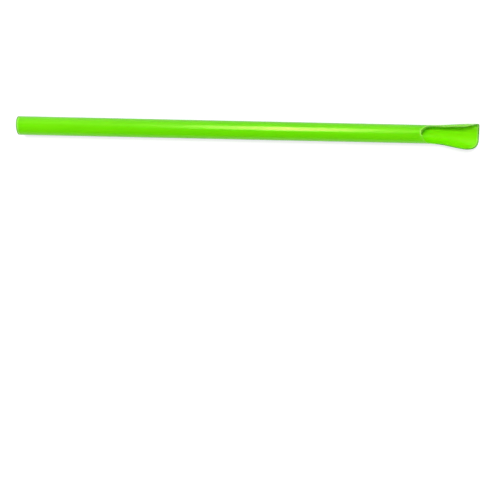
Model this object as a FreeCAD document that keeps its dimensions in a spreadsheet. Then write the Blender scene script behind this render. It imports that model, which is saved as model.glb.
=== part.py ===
"""A plastic drinking straw whose one end is slit open, flared and trimmed into a small scoop.

The straw lies along X with its scoop towards +X and the scoop's hollow facing up, +Z.
The back of the tube and the back of the scoop are one straight line on the plane Z = 0.
The origin is under the middle of the straw's length, on that line. Sizes are in millimetres.
"""
import FreeCAD, Part
import math
import os

import Sketcher

# Driving sizes: the name, the value and what it measures
SIZES = (
    ("straw_length", 200.0, "from the plain end to the scoop's tip"),
    ("tube_diameter", 8.0, "outside of the plain tube"),
    ("wall_thickness", 0.25, "of the tube and of the scoop"),
    ("spoon_length", 25.8, "from the tip back to where the slit begins"),
    ("flare_length", 22.5, "from the tip back to where the wall begins to widen"),
    ("flare_spread", 1.7, "added to the tube's radius where the scoop is widest"),
    ("widest_from_tip", 3.7, "from the tip back to the end of the widening"),
    ("slit_shoulder", 0.4, "from the top of the tube down to the top of the slit's slope"),
    ("slit_run", 5.0, "from the slit's start to the foot of its slope, along the straw"),
    ("slit_start_radius", 1.4, "of the bend at the top of the slope"),
    ("slit_foot_radius", 7.0, "of the bend from the slope into the lips"),
    ("slit_skew", 28.0, "degrees that the slit is turned from square across the tube"),
    ("lip_wrap_foot", 0.55, "from the tube's axis up to the lips at the slope's foot"),
    ("lip_wrap_wide", 1.9, "from the scoop's centre up to the lips where it is widest"),
    ("tip_setback", 2.2, "from the tip back to the corners of the scoop's end"),
    ("tip_corner_radius", 8.0, "of the rounded corners of the scoop's end"),
    ("tip_skew", 9.5, "degrees that the scoop's end is turned from square"),
    ("cut_allowance", 1.0, "that each cut reaches past what it removes"),
)

# Places that the sketches share, written in the sheet's values
TUBE_RADIUS = "Sizes.tube_diameter / 2"
WIDE_RADIUS = f"({TUBE_RADIUS} + Sizes.flare_spread)"
TIP_X = "(Sizes.straw_length / 2)"
PLAIN_END_X = "-Sizes.straw_length / 2"
FLARE_X = f"({TIP_X} - Sizes.flare_length)"
WIDE_X = f"({TIP_X} - Sizes.widest_from_tip)"
SLIT_X = f"({TIP_X} - Sizes.spoon_length)"
FOOT_X = f"({SLIT_X} + Sizes.slit_run)"
SHOULDER_Z = "Sizes.tube_diameter - Sizes.slit_shoulder"
FOOT_Z = f"({TUBE_RADIUS} + Sizes.lip_wrap_foot)"
WIDE_LIP_Z = f"({WIDE_RADIUS} + Sizes.lip_wrap_wide)"
LIP_SLOPE = f"(({WIDE_LIP_Z} - {FOOT_Z}) / ({WIDE_X} - {FOOT_X}))"
MID_LIP_X = f"({FOOT_X} + {WIDE_X}) / 2"
MID_LIP_Z = f"({FOOT_Z} + {WIDE_LIP_Z}) / 2"
CORNER_X = f"{TIP_X} - Sizes.tip_setback"
CORNER_Z = f"({WIDE_LIP_Z} + {LIP_SLOPE} * (Sizes.widest_from_tip - Sizes.tip_setback))"
BELOW_TIP_X = f"{TIP_X} + Sizes.tip_setback * Sizes.cut_allowance / {CORNER_Z}"
PAST_TIP_X = f"{TIP_X} + 2 * {WIDE_RADIUS}"
BELOW_Z = "-Sizes.cut_allowance"
ABOVE_Z = f"2 * {WIDE_RADIUS} + Sizes.cut_allowance"
CUT_WIDTH = f"2 * ({WIDE_RADIUS} + Sizes.cut_allowance)"

# Where the flare's round sections stand: 0 is its start and 1 where it is widest
FLARE_STATIONS = (0.0, 0.15, 0.3, 0.5, 0.7, 0.85, 1.0)

doc = FreeCAD.newDocument("SpoonStraw")
sheet = doc.addObject("Spreadsheet::Sheet", "Sizes")
for row, (alias, number, meaning) in enumerate(SIZES, start=1):
    sheet.set(f"A{row}", alias)
    sheet.set(f"B{row}", str(number))
    sheet.set(f"C{row}", meaning)
    sheet.setAlias(f"B{row}", alias)
doc.recompute()

body = doc.addObject("PartDesign::Body", "SpoonStraw")
body.Label = "spoon_straw"


def value(expression):
    """Work out an expression of the sheet's values."""
    return float(sheet.evalExpression(expression))


def new_sketch(name, role):
    """Start a sketch on one of the body's own origin planes."""
    sketch = body.newObject("Sketcher::SketchObject", name)
    plane = next(feature for feature in body.Origin.OriginFeatures if feature.Role == role)
    sketch.AttachmentSupport = [(plane, "")]
    sketch.MapMode = "FlatFace"
    return sketch


def bind(sketch, name, kind, references, expression):
    """Add a constraint of the sketch that takes its value from the sheet."""
    number = sketch.addConstraint(Sketcher.Constraint(kind, *references, value(expression)))
    sketch.renameConstraint(number, name)
    sketch.setExpression(f"Constraints.{name}", expression)


def wall_ring(name, place, radius):
    """Draw the wall's round section at a place along the straw, standing on Z = 0."""
    sketch = new_sketch(name, "YZ_Plane")
    sketch.setExpression("AttachmentOffset.Base.z", place)
    inner_radius = f"{radius} - Sizes.wall_thickness"
    centre = FreeCAD.Vector(0, value(radius), 0)
    normal = FreeCAD.Vector(0, 0, 1)
    outside = sketch.addGeometry(Part.Circle(centre, normal, value(radius)), False)
    inside = sketch.addGeometry(Part.Circle(centre, normal, value(inner_radius)), False)
    sketch.addConstraint(Sketcher.Constraint("PointOnObject", outside, 3, -2))
    sketch.addConstraint(Sketcher.Constraint("Coincident", outside, 3, inside, 3))
    bind(sketch, "centre_height", "DistanceY", (-1, 1, outside, 3), radius)
    bind(sketch, "outer_radius", "Radius", (outside,), radius)
    bind(sketch, "inner_radius", "Radius", (inside,), inner_radius)
    return sketch


def corner_arc(before, corner, after, radius):
    """Round a corner: give the arc, and the points where it leaves and meets the two lines."""
    way_in = (corner - before).normalize()
    way_out = (after - corner).normalize()
    half_turn = way_in.getAngle(way_out) / 2
    leaves = corner - way_in * (radius * math.tan(half_turn))
    meets = corner + way_out * (radius * math.tan(half_turn))
    centre = corner + (way_out - way_in).normalize() * (radius / math.cos(half_turn))
    turns_left = way_in.cross(way_out).z > 0
    ends = (leaves, meets) if turns_left else (meets, leaves)
    angles = [math.atan2(end.y - centre.y, end.x - centre.x) for end in ends]
    circle = Part.Circle(centre, FreeCAD.Vector(0, 0, 1), radius)
    return Part.ArcOfCircle(circle, *angles), leaves, meets, turns_left


def cut_outline(name, corners):
    """Draw a closed outline seen from the side. A corner is a name, its X, its Z and its radius."""
    sketch = new_sketch(name, "XZ_Plane")
    points = [FreeCAD.Vector(value(x), value(z), 0) for label, x, z, radius in corners]
    starts = list(points)
    ends = points[1:] + points[:1]
    arcs = {}
    for index, (label, x, z, radius) in enumerate(corners):
        if radius:
            before, after = points[index - 1], points[(index + 1) % len(points)]
            arc, leaves, meets, turns_left = corner_arc(before, points[index], after, value(radius))
            ends[index - 1] = leaves
            starts[index] = meets
            arcs[index] = (arc, turns_left)
    lines = [sketch.addGeometry(Part.LineSegment(*pair), False) for pair in zip(starts, ends)]
    for index, (label, x, z, radius) in enumerate(corners):
        line_in, line_out = lines[index - 1], lines[index]
        if radius:
            arc, turns_left = arcs[index]
            bend = sketch.addGeometry(arc, False)
            first, last = (1, 2) if turns_left else (2, 1)
            sketch.addConstraint(Sketcher.Constraint("Tangent", line_in, 2, bend, first))
            sketch.addConstraint(Sketcher.Constraint("Tangent", bend, last, line_out, 1))
            bind(sketch, f"{label}_radius", "Radius", (bend,), radius)
            point = sketch.addGeometry(Part.Point(points[index]), True)
            sketch.addConstraint(Sketcher.Constraint("PointOnObject", point, 1, line_in))
            sketch.addConstraint(Sketcher.Constraint("PointOnObject", point, 1, line_out))
        else:
            sketch.addConstraint(Sketcher.Constraint("Coincident", line_in, 2, line_out, 1))
            point = line_out
        bind(sketch, f"{label}_x", "DistanceX", (-1, 1, point, 1), x)
        bind(sketch, f"{label}_z", "DistanceY", (-1, 1, point, 1), z)
    return sketch


def skewed_cut(name, outline, skew):
    """Cut an outline right across the straw, turned by a skew angle in the plane of the lips.

    Both cuts leave the lips in one plane, and their faces there stay as cut, not merged.
    """
    cut = body.newObject("PartDesign::Pocket", name)
    cut.Profile = outline
    cut.Refine = False
    cut.SideType = "Symmetric"
    cut.setExpression("Length", f"2 * {CUT_WIDTH}")
    cut.UseCustomVector = True
    cut.AlongSketchNormal = False
    turn = f"tan({skew} * 1 deg)"
    cut.setExpression("Direction.x", f"-{turn}")
    cut.setExpression("Direction.y", "1")
    cut.setExpression("Direction.z", f"-{turn} * {LIP_SLOPE}")
    return cut


def make_tube():
    """Extrude the plain tube from its square-cut end to where the flare begins."""
    tube = body.newObject("PartDesign::Pad", "PlainTube")
    tube.Profile = wall_ring("TubeSection", PLAIN_END_X, TUBE_RADIUS)
    tube.setExpression("Length", "Sizes.straw_length - Sizes.flare_length")
    return tube


def make_flare():
    """Widen the wall gently, with its back kept in line with the tube's back."""
    rings = []
    for index, along in enumerate(FLARE_STATIONS):
        share = along * along * (3 - 2 * along)
        place = f"{FLARE_X} + ({WIDE_X} - {FLARE_X}) * {along}"
        radius = f"({TUBE_RADIUS} + Sizes.flare_spread * {share})"
        rings.append(wall_ring(f"FlareSection{index}", place, radius))
    flare = body.newObject("PartDesign::AdditiveLoft", "Flare")
    flare.Profile = rings[0]
    flare.Sections = rings[1:]
    return flare


def make_mouth():
    """Carry the widest section on past the tip, for the tip to be trimmed from."""
    mouth = body.newObject("PartDesign::Pad", "Mouth")
    mouth.Profile = wall_ring("MouthSection", WIDE_X, WIDE_RADIUS)
    mouth.setExpression("Length", "Sizes.widest_from_tip + Sizes.cut_allowance")
    return mouth


def open_slit():
    """Open the top of the tube along a slope that bends into the scoop's two lips."""
    outline = cut_outline("SlitOutline", (
        ("slit_top", SLIT_X, ABOVE_Z, None),
        ("shoulder", SLIT_X, SHOULDER_Z, "Sizes.slit_start_radius"),
        ("foot", FOOT_X, FOOT_Z, "Sizes.slit_foot_radius"),
        ("lip_end", WIDE_X, WIDE_LIP_Z, None),
        ("lip_top", WIDE_X, ABOVE_Z, None),
    ))
    return skewed_cut("Slit", outline, "Sizes.slit_skew")


def trim_tip():
    """Trim the lips' ends to a leaning edge with rounded corners, which ends in the tip."""
    outline = cut_outline("TipOutline", (
        ("trim_top", MID_LIP_X, ABOVE_Z, None),
        ("mid_lip", MID_LIP_X, MID_LIP_Z, None),
        ("corner", CORNER_X, CORNER_Z, "Sizes.tip_corner_radius"),
        ("below_tip", BELOW_TIP_X, BELOW_Z, None),
        ("past_tip", PAST_TIP_X, BELOW_Z, None),
        ("past_top", PAST_TIP_X, ABOVE_Z, None),
    ))
    return skewed_cut("TipTrim", outline, "Sizes.tip_skew")


def check_model():
    """Stop if any object of the document failed, or if the straw isn't one sound solid."""
    for item in doc.Objects:
        if "Invalid" in item.State or "Error" in item.State:
            raise RuntimeError(f"{item.Name} failed: {item.State}")
    if body.Shape.isNull() or not body.Shape.isValid():
        raise RuntimeError("The straw's shape is empty or not valid")
    if len(body.Shape.Solids) != 1:
        raise RuntimeError("The straw isn't one solid")


make_tube()
make_flare()
make_mouth()
doc.recompute()
flared_volume = body.Shape.Volume
open_slit()
doc.recompute()
slit_volume = body.Shape.Volume
trim_tip()
doc.recompute()
check_model()
if not flared_volume > slit_volume > body.Shape.Volume:
    raise RuntimeError("A cut of the scoop removed nothing")

os.makedirs("parts", exist_ok=True)
body.Shape.exportStep(f"parts/{body.Label}.step")
print(f"{body.Label}: volume {body.Shape.Volume:.1f} cubic mm, {len(body.Shape.Faces)} faces")
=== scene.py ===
"""Looks of the lime green spoon straw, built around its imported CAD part.

The straw's shape is worked out in millimetres, as in the CAD source, and becomes metres when it is handed
to Blender. Camera, lamps, floor and textures are in metres throughout.
"""

import math

import bpy
import numpy as np
from mathutils import Matrix, Vector


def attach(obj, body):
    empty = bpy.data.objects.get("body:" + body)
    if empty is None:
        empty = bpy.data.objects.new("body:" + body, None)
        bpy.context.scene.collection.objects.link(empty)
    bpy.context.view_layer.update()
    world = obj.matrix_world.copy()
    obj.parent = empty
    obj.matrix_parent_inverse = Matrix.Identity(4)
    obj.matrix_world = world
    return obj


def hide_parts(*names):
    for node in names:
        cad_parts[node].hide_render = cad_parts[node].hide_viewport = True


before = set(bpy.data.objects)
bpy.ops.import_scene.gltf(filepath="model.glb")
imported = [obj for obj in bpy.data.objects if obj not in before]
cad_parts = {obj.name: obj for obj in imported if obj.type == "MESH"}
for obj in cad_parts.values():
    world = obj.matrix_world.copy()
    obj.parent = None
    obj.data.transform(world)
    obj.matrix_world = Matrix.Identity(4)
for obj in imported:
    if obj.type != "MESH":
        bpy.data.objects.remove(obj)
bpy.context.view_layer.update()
MM = 0.001

# The straw's sizes, by their names in the CAD source
STRAW_LENGTH = 200.0
TUBE_RADIUS = 4.0
WALL = 0.25
SPOON_LENGTH = 25.8
FLARE_LENGTH = 22.5
FLARE_SPREAD = 1.7
WIDEST_FROM_TIP = 3.7
SLIT_SHOULDER = 0.4
SLIT_RUN = 5.0
SLIT_START_RADIUS = 1.4
SLIT_FOOT_RADIUS = 7.0
SLIT_SKEW = math.tan(math.radians(28))
LIP_WRAP_FOOT = 0.55
LIP_WRAP_WIDE = 1.9
TIP_SETBACK = 2.2
TIP_CORNER_RADIUS = 8.0
TIP_SKEW = math.tan(math.radians(9.5))

# Places along and above the straw that follow from them
TIP_X = STRAW_LENGTH / 2
PLAIN_END_X = -STRAW_LENGTH / 2
FLARE_START_X = TIP_X - FLARE_LENGTH
WIDEST_X = TIP_X - WIDEST_FROM_TIP
SLIT_X = TIP_X - SPOON_LENGTH
SLIT_SHOULDER_Z = 2 * TUBE_RADIUS - SLIT_SHOULDER
SLIT_FOOT_X = SLIT_X + SLIT_RUN
LIP_FOOT_Z = TUBE_RADIUS + LIP_WRAP_FOOT
LIP_WIDE_Z = TUBE_RADIUS + FLARE_SPREAD + LIP_WRAP_WIDE
LIP_SLOPE = (LIP_WIDE_Z - LIP_FOOT_Z) / (WIDEST_X - SLIT_FOOT_X)
LIP_MIDDLE_X = (SLIT_FOOT_X + WIDEST_X) / 2
CORNER_X = TIP_X - TIP_SETBACK

# The outlines of the slit and the tip, and where they are traced to
TRACE_STEP = 0.01  # between points
SAME_POINT = TRACE_STEP / 100  # points of the rim that are closer than this are one
ABOVE_TUBE = 0.1  # the slit's outline starts this far above the straw
PAST_TIP = 0.01  # share of the tip's cut that is traced past the straw's bottom line
TIP_LINE_X = LIP_MIDDLE_X + 1.0  # from here on the rim follows the tip's outline
OUTSIDE_Y = 3 * TUBE_RADIUS  # well outside the straw
HALVINGS = 50  # to find where a cut meets the straw, between its middle and there

# The mesh
RIM_POINTS = 12000
EDGE_ROUND = 0.06  # radius of the roundings on the wall's cut edges
EDGE_STEPS = 3  # faces along each of them
SPOON_ROWS = 104
NEAR_COLUMNS = 44  # of the spoon on its +Y side
FAR_COLUMNS = 66  # of the spoon on its -Y side
TUBE_ROW = 1.2  # length of a row of the plain tube
HOLD = 0.05  # from a cut edge to the first line beside it

# The colour along the cut edges, whose strength differs on the two sides of the slit: partly the cut
# plastic's own paler tone, partly painted shade in its dark line and painted reflection in its pale one
BAND = 1.2  # its width
BAND_POINTS = 1200  # of the rim that it is measured from
BAND_START_X = SLIT_X - 3.0  # every point before it is further from the rim than the band is wide
# painted shade: the edge band's strength by place turns its dark line into a painted shadow at the near
# side of the slit's start and along the far lip
START_TO_LIPS_X = (SLIT_X + 3.0, SLIT_X + 9.0)
FAR_TO_NEAR_Y = (1.0, 2.5)
NEAR_PAINTED_SHADE_STRENGTH = (1.6, 1.0)  # at the slit's start and on the lips
FAR_PAINTED_SHADE_STRENGTH = (0.35, 1.2)

# Colours of the plastic
LIME_DEEP = (0.142, 0.750, 0.0, 1)
LIME_BRIGHT = (0.188, 0.850, 0.002, 1)
SPOON_TONE_AND_LIGHT_GAIN = (1.42, 1.14, 1, 1)  # the spoon is paler: partly its drawn-thin plastic, partly painted light that brightens its bowl
SPOON_TONE_AND_LIGHT_X = (0.073, 0.080)  # x over which it turns so
# partly painted: a pale line of painted reflection and a dark line of painted shade along the cut edges,
# over the cut plastic's own paler tone
CUT_PALE_AND_SHEEN = (0.42, 0.90, 0.13)
CUT_DARK_AND_SHADE = (0.07, 0.34, 0.0)
CUT_COVER = 0.85  # on the cut edge itself
CUT_STOPS = (  # nearness to the cut edge, colour and cover
    (0.3, CUT_PALE_AND_SHEEN, 0.2),
    (0.52, CUT_PALE_AND_SHEEN, 0.75),
    (0.68, CUT_PALE_AND_SHEEN, 0.7),
    (0.77, CUT_DARK_AND_SHADE, CUT_COVER),
)
NOISE_REACH = (0.3, 0.7)  # holds nearly all of a noise's values

# The studio. Strengths of the tent's light are given for surfaces and for reflections
TENT_SIDES = (0.35, 1.0)
TENT_TOP = (0.2, 0.1)
TENT_HEIGHTS = (0.45, 0.65)  # Z of the directions over which its sides give way to its top
FLOOR_RADIUS = 3.0
FLOOR_CORNERS = 96
FLOOR_Z = -0.00002
FLOOR_GREY = (0.4, 0.4, 0.4, 1)
LIFT = (0.72, 1.0)  # what is added to the floor to make it white, beside the straw and far away
LIFT_REACH = (0.1, 0.45)

# The camera, fitted to the photograph
LENS = 49.29
SENSOR = 36.0
CLIP = (0.01, 20)
TILT, ROLL = math.radians(1.24), math.radians(38.0)
SHIFT_X, SHIFT_Y = 0.1 * MM, 51.68 * MM  # of the straw's middle in the picture, right and up
AWAY = 300.0 * MM  # from the tube's far side


# The rim of the spoon
def lip_z(x):
    """Height of the plane of the lips at x."""
    return LIP_FOOT_Z + LIP_SLOPE * (x - SLIT_FOOT_X)


def flare(x):
    """How far along the flare x is, from 0 to 1."""
    return np.clip((x - FLARE_START_X) / (WIDEST_X - FLARE_START_X), 0, 1)


def outer_radius(x):
    """Radius of the straw's outside at x."""
    t = flare(x)
    return TUBE_RADIUS + FLARE_SPREAD * t * t * (3 - 2 * t)


def skin(x, angle, depth=0.0):
    """Points at a depth under the straw's outside, from x and the angle round from the bottom line."""
    radius = outer_radius(x)
    inside = radius - depth
    return np.stack([x, inside * np.sin(angle), radius - inside * np.cos(angle)], -1)


def skin_normal(x, angle):
    """Outward directions of the straw's outside."""
    t = flare(x)
    slope = FLARE_SPREAD * 6 * t * (1 - t) / (WIDEST_X - FLARE_START_X)
    return unit(np.stack([-slope * (1 - np.cos(angle)), np.sin(angle), -np.cos(angle)], -1))


def unit(vectors):
    """The vectors at length 1."""
    return vectors / np.linalg.norm(vectors, axis=-1, keepdims=True)


def step_lengths(points):
    """Distances from each point of a line to the next."""
    return np.linalg.norm(np.diff(points, axis=0), axis=1)


def run_of(points):
    """Running length along a line of points."""
    return np.concatenate([[0], np.cumsum(step_lengths(points))])


def straight(start, end):
    """Close points along a straight run."""
    start, end = np.array(start, float), np.array(end, float)
    count = int(np.linalg.norm(end - start) / TRACE_STEP) + 2
    return start + (end - start) * np.linspace(0, 1, count)[:, None]


def rounded(before, corner, after, radius):
    """Close points along the arc that rounds a corner of an outline."""
    before, corner, after = (np.array(p, float) for p in (before, corner, after))
    back, on = unit(before - corner), unit(after - corner)
    half = math.acos(back @ on) / 2
    centre = corner + unit(back + on) * radius / math.sin(half)
    start = corner + back * radius / math.tan(half) - centre
    end = corner + on * radius / math.tan(half) - centre
    sweep = math.pi - 2 * half
    k = np.linspace(0, sweep, int(sweep * radius / TRACE_STEP) + 2)[:, None]
    return centre + (start * np.sin(sweep - k) + end * np.sin(k)) / math.sin(sweep)


def cut_line(outline, skew, side):
    """x and angle where a skewed cut of this outline meets the straw's outside, on its +Y or -Y side."""
    x0, z0 = outline.T

    def beyond(y):
        """Whether the cut's points at y lie outside the straw."""
        z = z0 - skew * LIP_SLOPE * y
        return y * y + z * z > 2 * outer_radius(x0 - skew * y) * z

    near = skew * LIP_SLOPE * (z0 - outer_radius(x0))
    meets = ~beyond(near)
    far = np.full_like(near, side * OUTSIDE_Y)
    for _ in range(HALVINGS):
        middle = (near + far) / 2
        past = beyond(middle)
        near, far = np.where(past, near, middle), np.where(past, middle, far)
    x, z = x0 - skew * near, z0 - skew * LIP_SLOPE * near
    angle = np.arctan2(near, outer_radius(x) - z)
    angle += np.where(side * angle < -math.pi / 2, side * 2 * math.pi, 0)
    return np.stack([x, angle], -1)[meets]


def slit_outline():
    """The slit seen from the side, from above the straw down its slope and along the lips."""
    above = (SLIT_X, 2 * TUBE_RADIUS + ABOVE_TUBE)
    shoulder = (SLIT_X, SLIT_SHOULDER_Z)
    foot = (SLIT_FOOT_X, LIP_FOOT_Z)
    wide = (WIDEST_X, LIP_WIDE_Z)
    top = rounded(above, shoulder, foot, SLIT_START_RADIUS)
    bend = rounded(shoulder, foot, wide, SLIT_FOOT_RADIUS)
    slope = straight(top[-1], bend[0])
    return np.concatenate([straight(above, top[0]), top, slope, bend, straight(bend[-1], wide)])


def tip_outline():
    """The tip seen from the side, from the lips' middle round its corner and down past the straw."""
    middle = (LIP_MIDDLE_X, lip_z(LIP_MIDDLE_X))
    corner = (CORNER_X, lip_z(CORNER_X))
    below = (TIP_X + PAST_TIP * (TIP_X - CORNER_X), -PAST_TIP * lip_z(CORNER_X))
    bend = rounded(middle, corner, below, TIP_CORNER_RADIUS)
    return np.concatenate([straight(middle, bend[0]), bend, straight(bend[-1], below)])


def trace_rim():
    """The spoon's rim on the straw's outside, from the tip round the slit's start and back."""
    sides = []
    for side in (1, -1):
        slit = cut_line(slit_outline(), SLIT_SKEW, side)
        tip = cut_line(tip_outline(), TIP_SKEW, side)
        slit = slit[slit[:, 0] < TIP_LINE_X]
        sides.append(np.concatenate([slit, tip[tip[:, 0] > slit[-1, 0]]]))
    near, far = sides
    line = np.concatenate([near[::-1], far + [0, 2 * math.pi]])
    apart = step_lengths(skin(*line.T)) > SAME_POINT
    return line[np.concatenate([[True], apart])]


class Rim:
    """The rim as x, angle and outward direction along its length, set back by the rounding of its edge."""

    def __init__(self):
        line = trace_rim()
        run = run_of(skin(*line.T))
        even = np.linspace(0, run[-1], RIM_POINTS)
        x, angle = (np.interp(even, run, line[:, k]) for k in (0, 1))
        points = skin(x, angle)
        self.outward = unit(np.cross(skin_normal(x, angle), np.gradient(points, axis=0)))
        back = points - self.outward * EDGE_ROUND
        self.x = back[:, 0]
        turned = np.arctan2(back[:, 1], outer_radius(self.x) - back[:, 2])
        self.angle = angle + (turned - angle + math.pi) % (2 * math.pi) - math.pi
        self.run = run_of(skin(self.x, self.angle))
        self.start, self.end = np.interp([0, 2 * math.pi], self.angle, self.run)
        upper = np.abs(self.angle - math.pi) < math.pi / 2
        self.apex = self.run[np.argmin(np.where(upper, self.x, TIP_X))]
        self.near_corner, self.far_corner = (self.corner(side) for side in (1, -1))

    def corner(self, side):
        """Length along the rim to the middle of a rounded corner of the tip."""
        part = ((self.run - self.apex) * side < 0) & (self.x > LIP_MIDDLE_X)
        lean = np.abs(self.outward[:, 0] - np.abs(self.outward[:, 2]))
        return self.run[np.argmin(np.where(part, lean, np.inf))]

    def at(self, run):
        """x, angle and outward direction at lengths along the rim."""
        outward = np.stack([np.interp(run, self.run, self.outward[:, k]) for k in range(3)], -1)
        return np.interp(run, self.run, self.x), np.interp(run, self.run, self.angle), unit(outward)


# The mesh of the straw
def held(count, hold):
    """Even steps from 0 to 1, with one more line just before 1."""
    return np.concatenate([np.linspace(0, 1 - hold, count), [1]])


def patch(bottom, top, start, end):
    """A grid of x and angle between four lines that meet at their ends, with rows from start to end."""
    s = np.linspace(0, 1, len(bottom))[:, None, None]
    p = (start[:, 1] / start[-1, 1])[None, :, None]
    grid = (1 - p) * bottom[:, None] + p * top[:, None] + (1 - s) * start[None] + s * end[None]
    lower = (1 - s) * (1 - p) * bottom[0] + s * (1 - p) * bottom[-1]
    return grid - (lower + (1 - s) * p * top[0] + s * p * top[-1])


def spoon_grid(rim):
    """Rows of x and angle over the spoon, and the rim's outward directions round it."""
    rows = held(SPOON_ROWS, HOLD / (TIP_X - SLIT_X))
    near_x, near_angle, near_out = rim.at(rim.apex + rows * (rim.near_corner - rim.apex))
    far_x, far_angle, far_out = rim.at(rim.apex + rows * (rim.far_corner - rim.apex))
    apex_x = near_x[0]
    tip_x = np.interp(0, rim.angle, rim.x)
    grown = (near_x - apex_x) / (near_x[-1] - apex_x) + (far_x - apex_x) / (far_x[-1] - apex_x)
    bottom = np.stack([apex_x + (tip_x - apex_x) * grown / 2, 0 * rows], -1)
    halves, outs = [], []
    for count, top_x, top_angle, low, corner, turn in (
        (NEAR_COLUMNS, near_x, near_angle, rim.start, rim.near_corner, 0),
        (FAR_COLUMNS, far_x, far_angle, rim.end, rim.far_corner, 2 * math.pi),
    ):
        columns = held(count, HOLD / (TUBE_RADIUS * abs(top_angle[0] - turn)))
        end_x, end_angle, end_out = rim.at(low + columns * (corner - low))
        top = np.stack([top_x, top_angle - turn], -1)
        start = np.stack([np.full_like(columns, apex_x), columns * top[0, 1]], -1)
        end = np.stack([end_x, end_angle - turn], -1)
        end[0] = bottom[-1]
        halves.append(patch(bottom, top, start, end))
        outs.append(end_out)
    grid = np.concatenate([halves[0][:, ::-1], halves[1][:, 1:]], axis=1)
    outward = np.concatenate([near_out, outs[0][::-1][1:], outs[1][1:], far_out[::-1][1:-1]])
    return grid, outward


def tube_rows(apex_x):
    """x of the plain tube's rows, held close at both ends."""
    start = PLAIN_END_X + EDGE_ROUND
    count = int((apex_x - start) / TUBE_ROW)
    return np.concatenate([[start], np.linspace(start + HOLD, apex_x - HOLD, count)])


def edge_profile():
    """The wall's rounded edge as steps outward and across with their normals, from the outside in."""
    flat = WALL / 2 - EDGE_ROUND
    first = []
    for turn in np.linspace(0, math.pi / 2, EDGE_STEPS + 1)[1:]:
        out, over = math.sin(turn), math.cos(turn)
        first.append((EDGE_ROUND * out, flat + EDGE_ROUND * over, out, over))
    return first + [(a, -b, c, -d) for a, b, c, d in first[::-1]]


def straw_mesh():
    """The whole straw as one closed mesh: outside, inside, and the rounded edges between them."""
    rim = Rim()
    grid, rim_out = spoon_grid(rim)
    wide = grid.shape[1] - 1
    tube_x = tube_rows(grid[0, 0, 0])
    ring = grid[0, :wide, 1]
    tube = np.stack(np.broadcast_arrays(tube_x[:, None], ring[None, :]), -1).reshape(-1, 2)
    places = np.concatenate([tube, grid[0, :wide], grid[1:].reshape(-1, 2)])
    count = len(places)
    closed = len(tube_x) + 1

    def row(r):
        """Vertex numbers of a row, with the first again at the end of a closed one."""
        if r < closed:
            numbers = r * wide + np.arange(wide)
            return np.append(numbers, numbers[0])
        return closed * wide + (r - closed) * (wide + 1) + np.arange(wide + 1)

    rows = [row(r) for r in range(closed + len(grid) - 1)]
    strips = [np.stack([low[:-1], low[1:], high[1:], high[:-1]], -1) for low, high in zip(rows, rows[1:])]
    skins = np.concatenate(strips)
    spoon = rows[closed - 1 :]
    loop = [r[0] for r in spoon] + list(spoon[-1][1:]) + [r[-1] for r in spoon[-2:0:-1]]
    outside = skin(*places.T)
    inside = skin(*places.T, WALL)
    normal = skin_normal(*places.T)
    points = [outside, inside]
    normals = [normal, -normal]
    faces = [skins[:, ::-1], skins + count]
    total = 2 * count
    end_out = np.tile([-1.0, 0.0, 0.0], (wide, 1))
    for edge, outward, flip in ((np.array(loop), rim_out, True), (np.arange(wide), end_out, False)):
        middle = (outside[edge] + inside[edge]) / 2
        across = unit(outside[edge] - inside[edge])
        lines = [edge]
        for out, over, lean_out, lean_over in edge_profile():
            points.append(middle + outward * out + across * over)
            normals.append(unit(outward * lean_out + across * lean_over))
            lines.append(total + np.arange(len(edge)))
            total += len(edge)
        lines.append(edge + count)
        for low, high in zip(lines, lines[1:]):
            strip = np.stack([low, np.roll(low, -1), np.roll(high, -1), high], -1)
            faces.append(strip[:, ::-1] if flip else strip)
    points = np.concatenate(points)
    return points, np.concatenate(normals), np.concatenate(faces), cut_band_and_painted_shade(points, rim)


def cut_band_and_painted_shade(points, rim):
    """How near each point is to a cut edge, from 1 on it to 0 at the band's width and beyond, scaled by
    strengths that set its painted shade.

    The slit's start is darker on its near side, where the band stands in for the shadow under the slit's
    edge, and hardly shows on its far one, but the far lip's band is the stronger one, standing in for the
    shade along that lip.
    """
    line = skin(rim.x, rim.angle, WALL / 2)[:: RIM_POINTS // BAND_POINTS]
    band = 1 - np.minimum(points[:, 0] - PLAIN_END_X, BAND) / BAND
    spoon = points[:, 0] > BAND_START_X
    x, y, _ = points[spoon].T
    gaps = np.linalg.norm(points[spoon][:, None] - line[None], axis=-1).min(1)
    # painted shade made stronger or weaker by place along the slit and the lips
    near, far = (np.interp(x, START_TO_LIPS_X, ends) for ends in (NEAR_PAINTED_SHADE_STRENGTH, FAR_PAINTED_SHADE_STRENGTH))
    nearer = np.interp(y, FAR_TO_NEAR_Y, (0, 1))
    strength = nearer * near + (1 - nearer) * far
    band[spoon] = np.clip(strength * (1 - gaps / BAND), 0, 1)
    return band


def make_straw():
    """The straw's object, with the normals of its exact shape and a value for nearness to a cut edge, which
    also carries the strength of the edge band's painted shade.
    """
    points, normals, faces, band = straw_mesh()
    mesh = bpy.data.meshes.new("spoon_straw_moulded")
    mesh.from_pydata((points * MM).tolist(), [], faces.tolist())
    mesh.polygons.foreach_set("use_smooth", [True] * len(mesh.polygons))
    mesh.normals_split_custom_set_from_vertices(normals.tolist())
    # this value drives the edge band with its painted shade and painted reflection
    mesh.attributes.new("cut", "FLOAT", "POINT").data.foreach_set("value", band)
    mesh.validate()
    straw = bpy.data.objects.new("lime_spoon_straw", mesh)
    bpy.context.collection.objects.link(straw)
    return straw


# Materials
def add_node(tree, kind, inputs, **settings):
    """A new node with its settings made, and its inputs set to values or linked to other nodes' outputs."""
    node = tree.nodes.new(kind)
    for name, value in settings.items():
        setattr(node, name, value)
    for name, value in inputs.items():
        if isinstance(value, bpy.types.NodeSocket):
            tree.links.new(value, node.inputs[name])
        else:
            node.inputs[name].default_value = value
    return node


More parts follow.
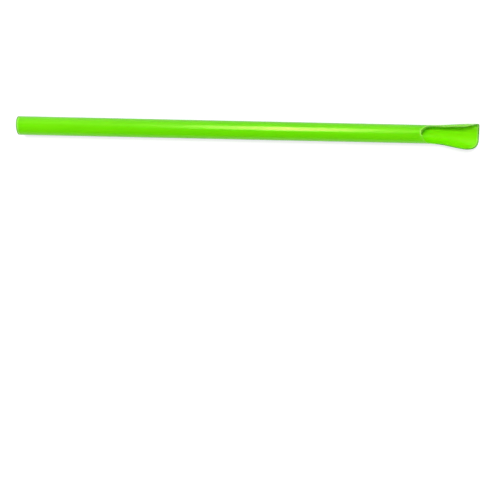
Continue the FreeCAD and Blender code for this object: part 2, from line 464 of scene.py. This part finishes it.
def mapped(tree, value, reach, result, curve="LINEAR"):
    """A value's reach mapped to another."""
    inputs = {"Value": value}
    inputs["From Min"], inputs["From Max"] = reach
    inputs["To Min"], inputs["To Max"] = result
    return add_node(tree, "ShaderNodeMapRange", inputs, interpolation_type=curve).outputs["Result"]


def blended(tree, factor, first, second, mode="MIX"):
    """Two colours mixed by a factor."""
    inputs = {"Factor": factor, "A": first, "B": second}
    return add_node(tree, "ShaderNodeMix", inputs, data_type="RGBA", blend_type=mode).outputs["Result"]


def combined(tree, operation, first, second):
    """Two values added, or the larger of them."""
    return add_node(tree, "ShaderNodeMath", {0: first, 1: second}, operation=operation).outputs[0]


def plastic():
    """Lime polypropylene: glossy, a little clear, with faint drawn lines along its length, a spoon made
    paler partly by painted light, and cut edges partly painted with shade and reflection.
    """
    material = bpy.data.materials.new("lime_plastic")
    material.use_nodes = True
    tree = material.node_tree
    shader = tree.nodes["Principled BSDF"]
    shader.inputs["Subsurface Weight"].default_value = 0.35
    shader.inputs["Subsurface Radius"].default_value = (0.6, 1.0, 0.15)
    shader.inputs["Subsurface Scale"].default_value = 0.0006
    shader.inputs["IOR"].default_value = 1.49
    shader.inputs["Specular Tint"].default_value = (1.0, 0.97, 0.3, 1)
    place = add_node(tree, "ShaderNodeTexCoord", {}).outputs["Object"]

    def noise(scale, stretch, detail):
        """Noise of a scale per metre that is drawn out along the straw."""
        mapping = add_node(tree, "ShaderNodeMapping", {"Vector": place, "Scale": (stretch, 1, 1)})
        inputs = {"Vector": mapping.outputs["Vector"], "Scale": scale, "Detail": detail}
        return add_node(tree, "ShaderNodeTexNoise", inputs).outputs["Fac"]

    def spread(value, low, high):
        """A noise's reach mapped to values for the surface."""
        return mapped(tree, value, NOISE_REACH, (low, high))

    drawn = noise(scale=2200, stretch=0.01, detail=3)
    clouds = noise(scale=60, stretch=0.5, detail=2)
    scuffs = noise(scale=900, stretch=0.4, detail=4)
    shade = combined(tree, "ADD", spread(drawn, 0.0, 0.4), spread(clouds, 0.0, 0.6))
    lime = blended(tree, shade, LIME_DEEP, LIME_BRIGHT)
    along = add_node(tree, "ShaderNodeSeparateXYZ", {"Vector": place}).outputs["X"]
    # partly painted light: the spoon's colour is made paler and brighter, as the light in its bowl makes it
    spoon_tone_and_light = mapped(tree, along, SPOON_TONE_AND_LIGHT_X, (0, 1), "SMOOTHSTEP")
    body = blended(tree, spoon_tone_and_light, lime, SPOON_TONE_AND_LIGHT_GAIN, "MULTIPLY")

    # the edge band: partly the cut plastic's paler tone, partly painted shade and painted reflection
    near = add_node(tree, "ShaderNodeAttribute", {}, attribute_name="cut").outputs["Fac"]
    edge = add_node(tree, "ShaderNodeValToRGB", {"Fac": near})
    stops = edge.color_ramp.elements
    stops[0].color = (*CUT_PALE_AND_SHEEN, 0)
    stops[1].color = (*CUT_DARK_AND_SHADE, CUT_COVER)
    for nearness, colour, cover in CUT_STOPS:
        stops.new(nearness).color = (*colour, cover)
    edge_tone_and_shade = blended(tree, edge.outputs["Alpha"], body, edge.outputs["Color"])
    tree.links.new(edge_tone_and_shade, shader.inputs["Base Color"])
    tree.links.new(spread(scuffs, 0.17, 0.25), shader.inputs["Roughness"])
    bump = add_node(tree, "ShaderNodeBump", {"Strength": 0.4, "Distance": 0.00002, "Height": drawn})
    tree.links.new(bump.outputs["Normal"], shader.inputs["Normal"])
    return material


def studio_white():
    """The floor's material: it takes the straw's shadow, and is white to the camera and in reflections."""
    material = bpy.data.materials.new("studio_white")
    material.use_nodes = True
    tree = material.node_tree
    tree.nodes.clear()
    matt = add_node(tree, "ShaderNodeBsdfDiffuse", {"Color": FLOOR_GREY}).outputs[0]
    under = add_node(tree, "ShaderNodeBsdfDiffuse", {"Color": FLOOR_GREY}).outputs[0]
    position = add_node(tree, "ShaderNodeNewGeometry", {}).outputs["Position"]
    away = add_node(tree, "ShaderNodeVectorMath", {0: position}, operation="LENGTH").outputs["Value"]
    strength = mapped(tree, away, LIFT_REACH, LIFT, "SMOOTHSTEP")
    lift = add_node(tree, "ShaderNodeEmission", {"Strength": strength}).outputs[0]
    white = add_node(tree, "ShaderNodeAddShader", {0: under, 1: lift}).outputs[0]
    rays = add_node(tree, "ShaderNodeLightPath", {}).outputs
    shown = combined(tree, "MAXIMUM", rays["Is Camera Ray"], rays["Is Glossy Ray"])
    shown = combined(tree, "MAXIMUM", shown, rays["Is Transmission Ray"])
    mix = add_node(tree, "ShaderNodeMixShader", {"Fac": shown, 1: matt, 2: white})
    add_node(tree, "ShaderNodeOutputMaterial", {"Surface": mix.outputs[0]})
    return material


def make_world():
    """Soft light as in a white photo tent, brighter low down.

    It is white to the camera, and low down in reflections.
    """
    world = bpy.data.worlds.new("studio_air")
    world.use_nodes = True
    tree = world.node_tree
    tree.nodes.clear()
    direction = add_node(tree, "ShaderNodeTexCoord", {}).outputs["Generated"]
    height = add_node(tree, "ShaderNodeSeparateXYZ", {"Vector": direction}).outputs["Z"]
    rays = add_node(tree, "ShaderNodeLightPath", {}).outputs
    sides, top = (mapped(tree, rays["Is Glossy Ray"], (0, 1), part) for part in (TENT_SIDES, TENT_TOP))
    tent = mapped(tree, height, TENT_HEIGHTS, (sides, top), "SMOOTHSTEP")
    strength = combined(tree, "MAXIMUM", rays["Is Camera Ray"], tent)
    air = add_node(tree, "ShaderNodeBackground", {"Color": (1, 1, 1, 1), "Strength": strength})
    add_node(tree, "ShaderNodeOutputWorld", {"Surface": air.outputs[0]})
    bpy.context.scene.world = world


# Floor, camera and lamps
def make_floor():
    """A wide round floor under the straw."""
    mesh = bpy.data.meshes.new("studio_floor")
    turns = [2 * math.pi * k / FLOOR_CORNERS for k in range(FLOOR_CORNERS)]
    corners = [(FLOOR_RADIUS * math.cos(t), FLOOR_RADIUS * math.sin(t), FLOOR_Z) for t in turns]
    mesh.from_pydata(corners, [], [list(range(FLOOR_CORNERS))])
    floor = bpy.data.objects.new("studio_floor", mesh)
    bpy.context.collection.objects.link(floor)
    mesh.materials.append(studio_white())


def camera_axes():
    """The camera's right, up and back directions: it looks down from the +Y side, upside down."""
    right = Vector((math.cos(TILT), math.sin(TILT) * math.cos(ROLL), -math.sin(TILT) * math.sin(ROLL)))
    up = Vector((-math.sin(TILT), math.cos(TILT) * math.cos(ROLL), -math.cos(TILT) * math.sin(ROLL)))
    return right, up, Vector((0, math.sin(ROLL), math.cos(ROLL)))


def placed(axes, location):
    """A matrix from right, up and back directions and a place."""
    matrix = Matrix.Identity(4)
    for k, axis in enumerate(axes):
        matrix.col[k] = (*axis, 0)
    matrix.col[3] = (*location, 1)
    return matrix


def make_camera():
    """The photograph's viewpoint."""
    right, up, back = camera_axes()
    radius = TUBE_RADIUS * MM
    place = Vector((0, 0, radius)) - right * SHIFT_X - up * SHIFT_Y + back * (AWAY - radius)
    data = bpy.data.cameras.new("camera")
    data.lens = LENS
    data.sensor_width = SENSOR
    data.clip_start, data.clip_end = CLIP
    camera = bpy.data.objects.new("camera", data)
    camera.matrix_world = placed((right, up, back), place)
    bpy.context.collection.objects.link(camera)
    bpy.context.scene.camera = camera


def make_lamp(name, lean, side, distance, size, watts, lights=True, mirrored=True):
    """A soft lamp aimed at the straw.

    It is leant from the camera's direction by degrees towards the picture's top, and by a share of its
    distance towards the right.
    """
    right, up, back = camera_axes()
    lean = math.radians(lean)
    towards = (back * math.cos(lean) + up * math.sin(lean) + right * side).normalized()
    data = bpy.data.lights.new(name, "AREA")
    data.shape = "RECTANGLE"
    data.size, data.size_y = size
    data.energy = watts
    lamp = bpy.data.objects.new(name, data)
    across = right.cross(towards).normalized()
    lamp.matrix_world = placed((across.cross(towards), across, towards), towards * distance)
    lamp.visible_camera = False
    lamp.visible_diffuse = lights
    lamp.visible_glossy = mirrored
    bpy.context.collection.objects.link(lamp)


scene = bpy.context.scene
scene.view_settings.view_transform = "Standard"
make_camera()
make_floor()
make_world()
make_lamp("key", lean=-1, side=-0.16, distance=0.9, size=(0.09, 0.15), watts=6.6, mirrored=False)
make_lamp("fill", lean=-118, side=0.0, distance=0.6, size=(0.5, 0.2), watts=0.8, mirrored=False)
make_lamp("shine", lean=20, side=0.07, distance=0.6, size=(0.225, 0.42), watts=2.2, lights=False)
make_lamp("core", lean=20, side=0.095, distance=0.6, size=(0.06, 0.5), watts=1.6, lights=False)

straw = make_straw()
straw.data.materials.append(plastic())
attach(straw, "root")
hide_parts("spoon_straw")
